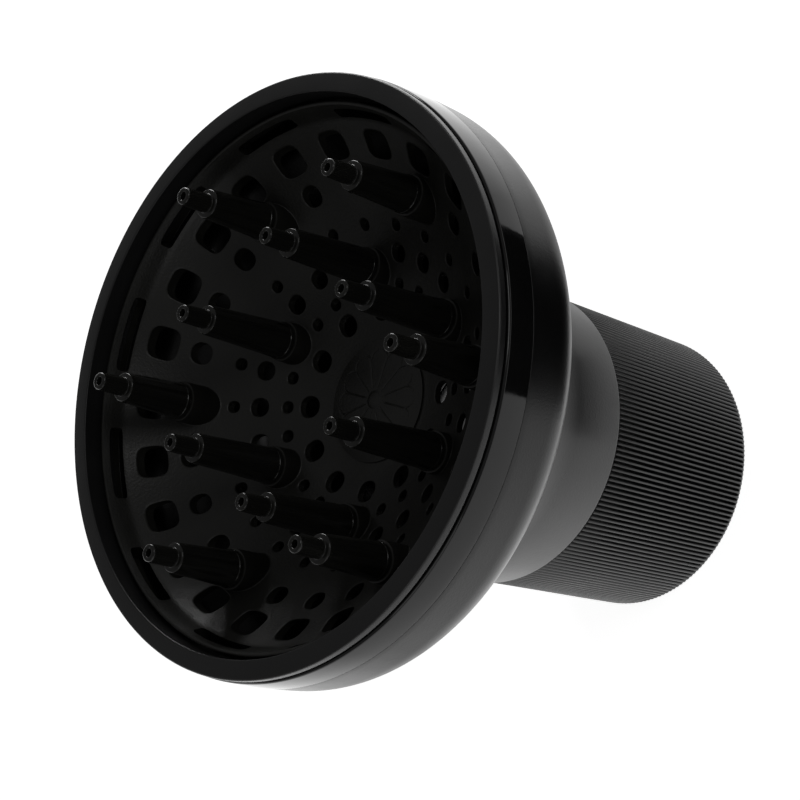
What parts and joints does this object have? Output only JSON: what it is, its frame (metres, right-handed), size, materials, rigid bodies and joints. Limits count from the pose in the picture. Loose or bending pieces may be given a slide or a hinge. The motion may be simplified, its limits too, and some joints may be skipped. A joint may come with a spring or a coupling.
{
  "type": "dryer diffuser",
  "caption": "Hair dryer diffuser: perforated bowl with hollow fingers, satin funnel and neck, and a ribbed grip sleeve that turns to close jaws on the dryer's nozzle.",
  "frame": {"origin": "centre of the grip sleeve's flat rear face, on which the part stands", "axes": "+Z along the axis out of the bowl, +X through one of the outer fingers"},
  "size_m": [0.1576, 0.1576, 0.1569],
  "materials": {
    "shell": "satin black with a fine grain",
    "gloss": "polished black",
    "bezel": "satin black",
    "grille": "fine matte black",
    "finger": "semi-gloss black",
    "grip": "matte black with fine ribs",
    "mechanism": "matte dark grey",
    "pad": "soft matte black",
    "steel": "zinc plated"
  },
  "bodies": {
    "bowl": {"outer_shell": "shell", "trim_ring": "gloss", "front_bezel": "bezel", "grille_dish": "grille", "centre_cap": "grille", "outer_finger_1": "finger", "outer_finger_2": "finger", "outer_finger_3": "finger", "outer_finger_4": "finger", "outer_finger_5": "finger", "outer_finger_6": "finger", "inner_finger_1": "finger", "inner_finger_2": "finger", "inner_finger_3": "finger", "inner_finger_4": "finger", "inner_finger_5": "finger", "inner_finger_6": "finger", "guide_plate": "mechanism", "plate_screw_1": "steel", "plate_screw_2": "steel", "plate_screw_3": "steel"},
    "grip": {"grip_sleeve": "grip", "cam_ring": "mechanism", "rear_ring": "mechanism"},
    "jaw_1": {"jaw_1": "mechanism", "jaw_pad_1": "pad", "jaw_slider_1": "mechanism"},
    "jaw_2": {"jaw_2": "mechanism", "jaw_pad_2": "pad", "jaw_slider_2": "mechanism"},
    "jaw_3": {"jaw_3": "mechanism", "jaw_pad_3": "pad", "jaw_slider_3": "mechanism"},
    "jaw_4": {"jaw_4": "mechanism", "jaw_pad_4": "pad", "jaw_slider_4": "mechanism"},
    "jaw_5": {"jaw_5": "mechanism", "jaw_pad_5": "pad", "jaw_slider_5": "mechanism"},
    "jaw_6": {"jaw_6": "mechanism", "jaw_pad_6": "pad", "jaw_slider_6": "mechanism"}
  },
  "joints": [
    {"name": "grip_turn", "type": "hinge", "parent": "bowl", "child": "grip", "pos_m": [0, 0, 0.03], "axis": [0, 0, 1], "range_deg": [0, 60]},
    {"name": "jaw_1_slide", "type": "slide", "parent": "bowl", "child": "jaw_1", "axis": [-1, 0, 0], "range_m": [0, 0.0105]},
    {"name": "jaw_2_slide", "type": "slide", "parent": "bowl", "child": "jaw_2", "axis": [-0.5, -0.866, 0], "range_m": [0, 0.0105]},
    {"name": "jaw_3_slide", "type": "slide", "parent": "bowl", "child": "jaw_3", "axis": [0.5, -0.866, 0], "range_m": [0, 0.0105]},
    {"name": "jaw_4_slide", "type": "slide", "parent": "bowl", "child": "jaw_4", "axis": [1, 0, 0], "range_m": [0, 0.0105]},
    {"name": "jaw_5_slide", "type": "slide", "parent": "bowl", "child": "jaw_5", "axis": [0.5, 0.866, 0], "range_m": [0, 0.0105]},
    {"name": "jaw_6_slide", "type": "slide", "parent": "bowl", "child": "jaw_6", "axis": [-0.5, 0.866, 0], "range_m": [0, 0.0105]}
  ],
  "couplings": [
    {"joint": "jaw_1_slide", "follows": "grip_turn", "m_per_rad": 0.010026},
    {"joint": "jaw_2_slide", "follows": "grip_turn", "m_per_rad": 0.010026},
    {"joint": "jaw_3_slide", "follows": "grip_turn", "m_per_rad": 0.010026},
    {"joint": "jaw_4_slide", "follows": "grip_turn", "m_per_rad": 0.010026},
    {"joint": "jaw_5_slide", "follows": "grip_turn", "m_per_rad": 0.010026},
    {"joint": "jaw_6_slide", "follows": "grip_turn", "m_per_rad": 0.010026}
  ]
}
